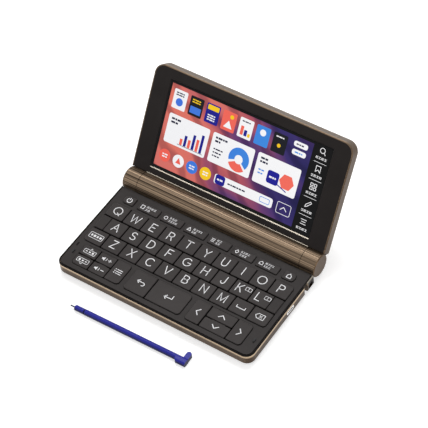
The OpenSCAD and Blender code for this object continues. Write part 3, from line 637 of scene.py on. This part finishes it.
# Function keys: a pictogram at the left of two rows of wide and narrow signs
WIDE, NARROW = 1.5, 1.1
SIGNS_LEFT, SIGN_GAP, SIGN_ROWS = -2.4, 0.45, (1.15, -1.15)
PICTOGRAM_X, PICTOGRAM_SIZE, PICTOGRAM_PEN = -5, 1.1, 0.42
FUNCTION_KEYS = [
    ([[(-1, -1.2), (-1, 1.2), (1, 1.2), (1, -1.2)]], True,
     ((WIDE, NARROW, WIDE, WIDE), (WIDE, WIDE))),
    ([ring(0, 0, 1.1, 14)], True,
     ((NARROW, WIDE, WIDE), (WIDE, NARROW, NARROW, WIDE))),
    ([[(-1.1, -1), (0, 1.2), (1.1, -1)]], True,
     ((WIDE, WIDE, NARROW, NARROW), (NARROW, WIDE))),
    ([[(-1, 1), (1, 1)], [(-1, 0), (1, 0)], [(-1, -1), (1, -1)]], False,
     ((WIDE, WIDE), (WIDE, NARROW))),
    ([[(0, -1.2), (1.1, 0), (0, 1.2), (-1.1, 0)]], True,
     ((NARROW, NARROW, WIDE, NARROW), (WIDE, WIDE, NARROW))),
    ([[(-1.1, -1), (-1.1, .4), (0, 1.2), (1.1, .4), (1.1, -1)]], True,
     ((WIDE, NARROW, NARROW, NARROW), (NARROW, NARROW, WIDE))),
]
for i, (outlines, closed, rows) in enumerate(FUNCTION_KEYS):
    pictogram = [(points, PICTOGRAM_PEN, closed) for points in outlines]
    placed = [(pictogram, PICTOGRAM_X, 0, PICTOGRAM_SIZE)]
    for row, widths in enumerate(rows):
        left = SIGNS_LEFT
        for k, width in enumerate(widths):
            marks = sign(width - 0.2, (k + row) % 2)
            placed.append((marks, left + width / 2, SIGN_ROWS[row], 1))
            left += width + SIGN_GAP
    legend(f"key_f{i + 1}", placed)

CHEVRON_SIDE = [(-1.0, 2.3), (1.1, 0), (-1.0, -2.3)]  # Points to the right
CHEVRON_UP = [(-2.3, -1.0), (0, 1.1), (2.3, -1.0)]
CHEVRON_PEN = 0.6
ICONS = {
    "key_power": [line(arc(0, 0, 1.7, 1.7, 125, 415, 20), 0.5), line([(0, .4), (0, 2.0)], 0.5)],
    "key_home": [loop([(-1.4, -1.5), (1.4, -1.5), (1.4, .3), (0, 1.7), (-1.4, .3)], 0.5)],
    "key_mode": [loop(rounded(0, 0, 10, 4.2, 0.6), 0.36)]
                + [solid(rounded(-3.3 + k * 2.2, 0, width, 1.7, 0.2))
                   for k, width in enumerate((1.2, 1.7, 1.2, 1.7))],
    "key_space": [line([(-3, .7), (-3, -.9), (3, -.9), (3, .7)], 0.55)],
    "key_delete": [loop([(-3.2, 0), (-1.6, 1.8), (3, 1.8), (3, -1.8), (-1.6, -1.8)], 0.45),
                   line([(-.3, .75), (1.4, -.75)], 0.45), line([(-.3, -.75), (1.4, .75)], 0.45)],
    "key_list": [mark for y in (-1.5, 0, 1.5)
                 for mark in (solid(rounded(-2.4, y, .7, .7, .1)),
                              line([(-1.2, y), (2.6, y)], 0.5))],
    "key_back": [line([(1.6, -1.5), (1.9, -1.5)] + arc(1.9, -.3, 1.2, 1.2, -80, 90, 8)
                      + [(-2.6, .9)], 0.55),
                 line([(-1.2, 2.2), (-2.7, .9), (-1.2, -.4)], 0.55)],
    "key_enter": [line([(2.8, 1.8), (2.8, -.6), (-2.8, -.6)], 0.6),
                  line([(-1.3, .8), (-2.9, -.6), (-1.3, -2)], 0.6)],
    "key_left": [line([(-x, y) for x, y in CHEVRON_SIDE], CHEVRON_PEN)],
    "key_right": [line(CHEVRON_SIDE, CHEVRON_PEN)],
}
for node, marks in ICONS.items():
    legend(node, [(marks, 0, 0, 1)])


def size_marks(up):
    """Frame with three blocks that grow, and a small arrow outside it."""
    s = 1 if up else -1
    blocks = [solid(rounded(-s * (2.4 - k * 2.4), -s * 0.5, 1.4, high, 0.15))
              for k, high in enumerate((0.7, 1.1, 1.5))]
    return [loop(rounded(0, -s * 0.5, 8.6, 3, .5), 0.34), *blocks,
            line([(-0.8, s * 1.7), (0, s * 2.4), (0.8, s * 1.7)], 0.32)]


LOUDSPEAKER = [solid([(-3.4, -.6), (-2.5, -.6), (-1.3, -1.5), (-1.3, 1.5), (-2.5, .6), (-3.4, .6)]),
               line(arc(-1.2, 0, 1.4, 1.4, -40, 40, 6), 0.4)]
MINUS, UPRIGHT = line([(1.6, 0), (3.6, 0)], 0.5), line([(2.6, -1), (2.6, 1)], 0.5)
for node, upper, lower in (
        ("key_size", size_marks(True), size_marks(False)),
        ("key_volume", [*LOUDSPEAKER, MINUS, UPRIGHT], [*LOUDSPEAKER, MINUS]),
        ("key_updown", [line(CHEVRON_UP, CHEVRON_PEN)],
         [line([(x, -y) for x, y in CHEVRON_UP], CHEVRON_PEN)])):
    legend(node, [(upper, 0, HALF_ROCKER, 1), (lower, 0, -HALF_ROCKER, 1)], ROCKER_TOP)

# Sound slot in the deck, at the left: a flat near-black mark, painted shade of the opening
slot = Drawing(TABLE, DECK_TOP + LIFT)
slot.box(-70.1, AXIS.y / MM - 62.1, 1.3, 3.2, 0.6)
slot.piece("deck_slot", GAP_SHADE, "base")

# ---- Screen picture: flat layers just in front of the glass ----

GLASS_Z = -1.0
LAYER_STEP = 0.012
PALE = [(0, rgb(245, 245, 248)), (1, rgb(252, 252, 253))]
# From the back to the front, each a hair in front of the one before
LAYERS = {
    "wall": lit("screen_wall", [(0.0, rgb(226, 116, 98)), (0.26, rgb(214, 112, 104)),
                                (0.42, rgb(176, 84, 96)), (0.56, rgb(104, 60, 112)),
                                (0.72, rgb(56, 44, 108)), (1.0, rgb(26, 27, 80))], waves=0.22),
    "white": lit("screen_white", PALE),
    "navy": lit("screen_navy", [(0, rgb(22, 24, 132)), (1, rgb(28, 28, 150))]),
    "coral": lit("screen_coral", [(0, rgb(240, 98, 84)), (1, rgb(246, 112, 96))]),
    "black": lit("screen_black", [(0, rgb(14, 16, 24)), (1, rgb(18, 20, 30))]),
    "sky": lit("screen_sky", [(0, rgb(66, 112, 220)), (1, rgb(58, 150, 226))]),
    "gold": lit("screen_gold", [(0, rgb(250, 206, 36)), (1, rgb(244, 196, 28))]),
    "marks": lit("screen_marks", [(0, rgb(30, 32, 60)), (1, rgb(34, 36, 66))]),
    "glow": lit("screen_glow", PALE),
}
sheets = {name: Drawing(LID, GLASS_Z + LAYER_STEP * (1 + level))
          for level, name in enumerate(LAYERS)}
sheets["wall"].box(-5.95, 44.1, 106.3, 57)


def words(sheet, x, y, widths, high, gap=0.4):
    """A row of small blocks from x on, as print looks from afar."""
    for w in widths:
        sheets[sheet].box(x + w / 2, y, w, high, 0.15)
        x += w + gap


def tile(x, y, base, parts):
    """Upright tile; parts are (sheet, shape, dx, dy, width, height).

    For words, the height is the number of rows.
    """
    sheets[base].box(x, y, 10.2, 13, 0.8)
    for sheet, shape, dx, dy, w, h in parts:
        at_x, at_y = x + dx, y + dy
        if shape == "disc":
            sheets[sheet].fill(ring(at_x, at_y, w / 2, 18))
        elif shape == "peak":
            sheets[sheet].fill([(at_x - w / 2, at_y), (at_x + w / 2, at_y), (at_x, at_y + h)])
        elif shape == "words":
            for row in range(h):
                words(sheet, at_x, at_y - 1.5 * row, (w * 0.3, w * 0.42, w * 0.2), 0.8, 0.3)
        else:
            sheets[sheet].box(at_x, at_y, w, h, 0.3)


# Upper row: seven tiles, then two pale pills
TILES_LEFT, TILE_PITCH, TILE_ROW = -51.4, 12.6, 63.4
TILES = [
    ("white", [("marks", "words", -3.4, 4.4, 6, 2), ("sky", "disc", 0, -1.6, 5.4, 5.4)]),
    ("black", [("gold", "words", -3.4, 4.2, 6, 2), ("sky", "box", 0, -2.6, 8, 4.6)]),
    ("navy", [("gold", "box", 0, 4, 8.4, 3.2), ("glow", "words", -3.2, -1.2, 5.6, 3)]),
    ("coral", [("glow", "peak", 0, -4.4, 6.4, 5), ("gold", "disc", 1.6, 3.4, 2.8, 2.8)]),
    ("white", [("coral", "box", -2.2, -1.8, 2.2, 6), ("navy", "box", 0.6, -2.8, 2.2, 4),
               ("gold", "box", 3.2, -3.6, 1.8, 2.4), ("marks", "words", -3.4, 4.4, 6, 1)]),
    ("sky", [("glow", "disc", 0, 2.2, 4.4, 4.4), ("navy", "peak", -1.4, -5.4, 5.4, 5)]),
    ("black", [("glow", "words", -3.2, 4.2, 5.6, 1), ("coral", "disc", 0, -1.4, 5.6, 5.6),
               ("gold", "disc", 0, -1.4, 2.6, 2.6)]),
]
for k, (base, parts) in enumerate(TILES):
    tile(TILES_LEFT + TILE_PITCH * k, TILE_ROW, base, parts)
for y, sheet, left, widths in ((68, "marks", 35.6, (1.6, 1.2, 1.8)),
                               (62.6, "sky", 35.8, (2.6, 1.2, 1))):
    sheets["white"].box(38.8, y, 10, 3.6, 1.4)
    words(sheet, left, y, widths, 0.9)

# Middle row: three wide cards with a chart, a dial and two linked shapes
CARDS_LEFT, CARD_PITCH, CARD_ROW = -40.4, 34.2, 43.2
CARD_X = [CARDS_LEFT + CARD_PITCH * k for k in range(3)]
CARD_WORDS = [((2.2, 1.4, 2.6), (3, 1.8)),
              ((1.6, 3, 1.2, 1.8), (2.4, 1.2)),
              ((2.8, 2), (1.4, 2.2, 1.2))]
for x, (upper, lower) in zip(CARD_X, CARD_WORDS):
    sheets["white"].box(x, CARD_ROW, 31.6, 20, 1.3)
    words("marks", x - 13.4, 50.2, upper, 1.3)
    words("marks", x - 13.4, 47.8, lower, 1.3)
chart, dial, pair = CARD_X
CHART_FOOT = 35.2
for k, high in enumerate((4.2, 7.4, 5.6, 10.2, 8.2, 12.4)):
    sheets["navy" if k % 2 else "coral"].box(chart - 3 + k * 3, CHART_FOOT + high / 2, 2, high, 0.2)
sheets["marks"].stroke([(chart - 5.2, CHART_FOOT - 0.3), (chart + 14, CHART_FOOT - 0.3)], 0.35)
DIAL_RADIUS = 7.6
sheets["sky"].fill([(dial + 6, 42.6)]
                   + arc(dial + 6, 42.6, DIAL_RADIUS, DIAL_RADIUS, -40, 200, 24))
sheets["coral"].fill([(dial + 6, 41.6)]
                     + arc(dial + 6, 41.6, DIAL_RADIUS, DIAL_RADIUS, 206, 314, 14))
sheets["glow"].fill(ring(dial + 6, 42.4, 3, 20))
for k in range(3):
    words("marks", dial - 13.2, 42.6 - 2.3 * k, (1.2, 3.4 - k * 0.8, 1.6), 0.9)
sheets["navy"].box(pair - 2, 40.6, 8.6, 8.6, 1.6)
sheets["coral"].fill(ring(pair + 8, 41.4, 5.4, 6))
sheets["navy"].stroke([(pair + 2.2, 37.6), (pair + 5.6, 36.4), (pair + 9, 35.2)], 0.7)
words("glow", pair - 4.6, 40.6, (2, 1.2, 1), 1.2)
for k in range(2):
    words("sky", pair - 13.2, 42.4 - 2.3 * k, (1.8, 2 - k * 0.6), 0.9)

# Lower row: round buttons, a long pale field and a framed arrow beside it
BUTTONS_LEFT, BUTTON_PITCH, BUTTON_ROW = -52.4, 10.6, 24.2
for k, sheet in enumerate(("coral", "white", "sky", "gold")):
    x = BUTTONS_LEFT + BUTTON_PITCH * k
    sheets[sheet].fill(ring(x, BUTTON_ROW, 4.3, 24))
    if sheet == "white":
        sheets["coral"].fill([(x - 2, 22.4), (x + 2.2, 22.4), (x, 26.6)])
    else:
        words("glow", x - 2, 25, (1.4, 2.2), 0.9)
        words("glow", x - 2, 23.3, (2.2, 1.2), 0.9)
sheets["white"].box(8.4, BUTTON_ROW, 44, 6.6, 1.6)
sheets["navy"].box(-9.2, BUTTON_ROW, 7.2, 6.6, 1.6)
words("glow", -11.4, BUTTON_ROW, (1.6, 2.2), 1.1)
words("marks", -3.4, BUTTON_ROW, (1.8, 1.2, 2.6, 1.4, 1.8, 2.4), 1.0)
sheets["sky"].stroke(rounded(24.6, BUTTON_ROW, 7.2, 3.4, 0.8), 0.4, True)
sheets["glow"].stroke(rounded(38.8, BUTTON_ROW, 10, 7.4, 1), 0.35, True)
sheets["glow"].stroke([(36.6, 23.2), (38.8, 25.4), (41, 23.2)], 0.5)
for name, sheet in sheets.items():
    sheet.piece("screen_" + name, LAYERS[name], "lid")

# Seam of the film beside the column of touch marks
film = Drawing(LID, GLASS_Z + LAYER_STEP)
film.stroke([(61.5, 12), (61.5, 75.6)], 0.3)
film.piece("film_edge", DIM_INK, "lid")

# Column of touch marks at the right of the glass, each over a row of signs
TOUCH_X, TOUCH_SIZE, TOUCH_PEN = 54.2, 0.8, 0.4
TOUCH_MARKS = [
    (68.6, [(ring(-0.4, 0.4, 2.1, 18), True), ([(1.1, -1.1), (2.6, -2.6)], False)]),
    (56.5, [([(-2, 2.6), (-2, -2.4), (0, -0.6), (2, -2.4), (2, 2.6)], True)]),
    (44.6, [(rounded(1.6 * i, 1.6 * j, 2.1, 2.1, 0.2), True) for i in (-1, 1) for j in (-1, 1)]),
    (32.5, [([(-2.4, -2.6), (-2, -0.6), (1.6, 2.6), (2.6, 1.6), (-0.8, -2)], True)]),
    (20.4, [([(-w, y), (w, y)], False) for w, y in ((2.4, 1.9), (1.7, 0), (2.4, -1.9))]),
]
column = Drawing(LID, GLASS_Z + LAYER_STEP)
for y in (62.4, 50.6, 38.6, 26.4):
    column.stroke([(49.8, y), (58.6, y)], 0.25)
for row, (y, strokes) in enumerate(TOUCH_MARKS):
    column.draw([(points, TOUCH_PEN, closed) for points, closed in strokes],
                TOUCH_X, y + 1.6, TOUCH_SIZE)
    for k in range(4):
        column.draw(sign(1.4, (k + row) % 2), 51.2 + 2 * k, y - 3.2)
column.piece("screen_touch_marks", LAYERS["glow"], "lid")

# ---- Bright trim along the lower edge of the lid, and the rim of the side socket ----

TRIM_HALF = 62.2
TRIM_SECTION = [(8.1, -1.2), (8.1, -0.35), (8.2, -0.23), (8.36, -0.2), (8.52, -0.23),
                (8.64, -0.35), (8.66, -0.48), (8.44, -0.48), (8.44, -1.2)]
count = len(TRIM_SECTION)
sides = [[i, (i + 1) % count, count + (i + 1) % count, count + i] for i in range(count)]
ends = [list(range(count))[::-1], list(range(count, 2 * count))]
add_piece("lid_trim", TRIM_AND_HIGHLIGHT, "lid", LID,
          [(x, y, z) for x in (-TRIM_HALF, TRIM_HALF) for y, z in TRIM_SECTION], sides + ends)

# Plane of the right side wall: x along the wall, y up
SIDE = (Matrix.Translation((73.97 * MM, -10.36 * MM, 5.2 * MM))
        @ Matrix.Rotation(math.pi / 2, 4, "Y") @ Matrix.Rotation(math.pi / 2, 4, "Z"))
socket_rim = Drawing(SIDE, 0)
socket_rim.stroke(rounded(0, 0, 7.0, 2.0, 0.95), 0.95, True)
socket_rim.piece("socket_rim", NICKEL, "base")

# ---- Floor, world and lamps ----

FLOOR_HALF = 3
FLOOR_GLOW = (0.55, 0.71)  # Near the object, and away from the lamps, where it needs more
GLOW_FROM, GLOW_TO = 0.4, 1.0  # Distances between which the glow rises
AMBIENT = 0.36  # Strength of the world for all other rays than backdrop_rays names


def backdrop_rays(nodes):
    """1 for the rays of the camera, of metal and of glass, which show the white backdrop."""
    path = nodes.node("ShaderNodeLightPath").outputs
    seen = nodes.calculate("MAXIMUM", path["Is Camera Ray"], path["Is Glossy Ray"])
    return nodes.calculate("MAXIMUM", seen, path["Is Transmission Ray"])


floor_mesh = bpy.data.meshes.new("floor")
floor_mesh.from_pydata([(x, y, 0) for x, y in rounded(0, 0, 2 * FLOOR_HALF, 2 * FLOOR_HALF)],
                       [], [(0, 1, 2, 3)])
floor = add_object("floor", floor_mesh)
floor_mat = bpy.data.materials.new("floor_white")
floor_mat.use_nodes = True
nodes = Nodes(floor_mat.node_tree)
nodes.tree.nodes.clear()
distance = nodes.node("ShaderNodeVectorMath", operation="LENGTH")
nodes.feed(nodes.node("ShaderNodeNewGeometry").outputs["Position"], distance.inputs[0])
glow = nodes.remap(distance.outputs["Value"], *FLOOR_GLOW, GLOW_FROM, GLOW_TO)
strength = nodes.calculate("MULTIPLY", backdrop_rays(nodes), glow)
both = nodes.node("ShaderNodeAddShader")
nodes.feed(nodes.node("ShaderNodeBsdfDiffuse", Color=grey(0.82)).outputs[0], both.inputs[0])
nodes.feed(nodes.node("ShaderNodeEmission", Strength=strength).outputs[0], both.inputs[1])
nodes.node("ShaderNodeOutputMaterial", Surface=both.outputs[0])
floor_mesh.materials.append(floor_mat)

world = bpy.data.worlds.new("studio")
bpy.context.scene.world = world
world.use_nodes = True
nodes = Nodes(world.node_tree)
nodes.tree.nodes.clear()
strength = nodes.remap(backdrop_rays(nodes), AMBIENT, 1.0, 0, 1)
background = nodes.node("ShaderNodeBackground", Color=WHITE, Strength=strength)
nodes.node("ShaderNodeOutputWorld", Surface=background.outputs[0])


def lamp(name, place, target, size, power):
    """Soft rectangular lamp of a size in metres, in watts, turned to the target."""
    light = bpy.data.lights.new(name, "AREA")
    light.shape = "RECTANGLE"
    light.size, light.size_y = size
    light.energy = power
    obj = add_object(name, light)
    obj.location = place
    obj.rotation_euler = (Vector(target) - Vector(place)).to_track_quat("-Z", "Y").to_euler()


lamp("key_lamp", (-0.2, 0.42, 1.0), (0, 0, 0), (0.9, 0.25), 8)
lamp("fill_lamp", (-0.5, -0.9, 0.55), (0, 0, 0.02), (0.9, 0.25), 2)
lamp("side_lamp", (0.9, -0.1, 0.3), (0, 0, 0.02), (0.5, 0.3), 1.5)
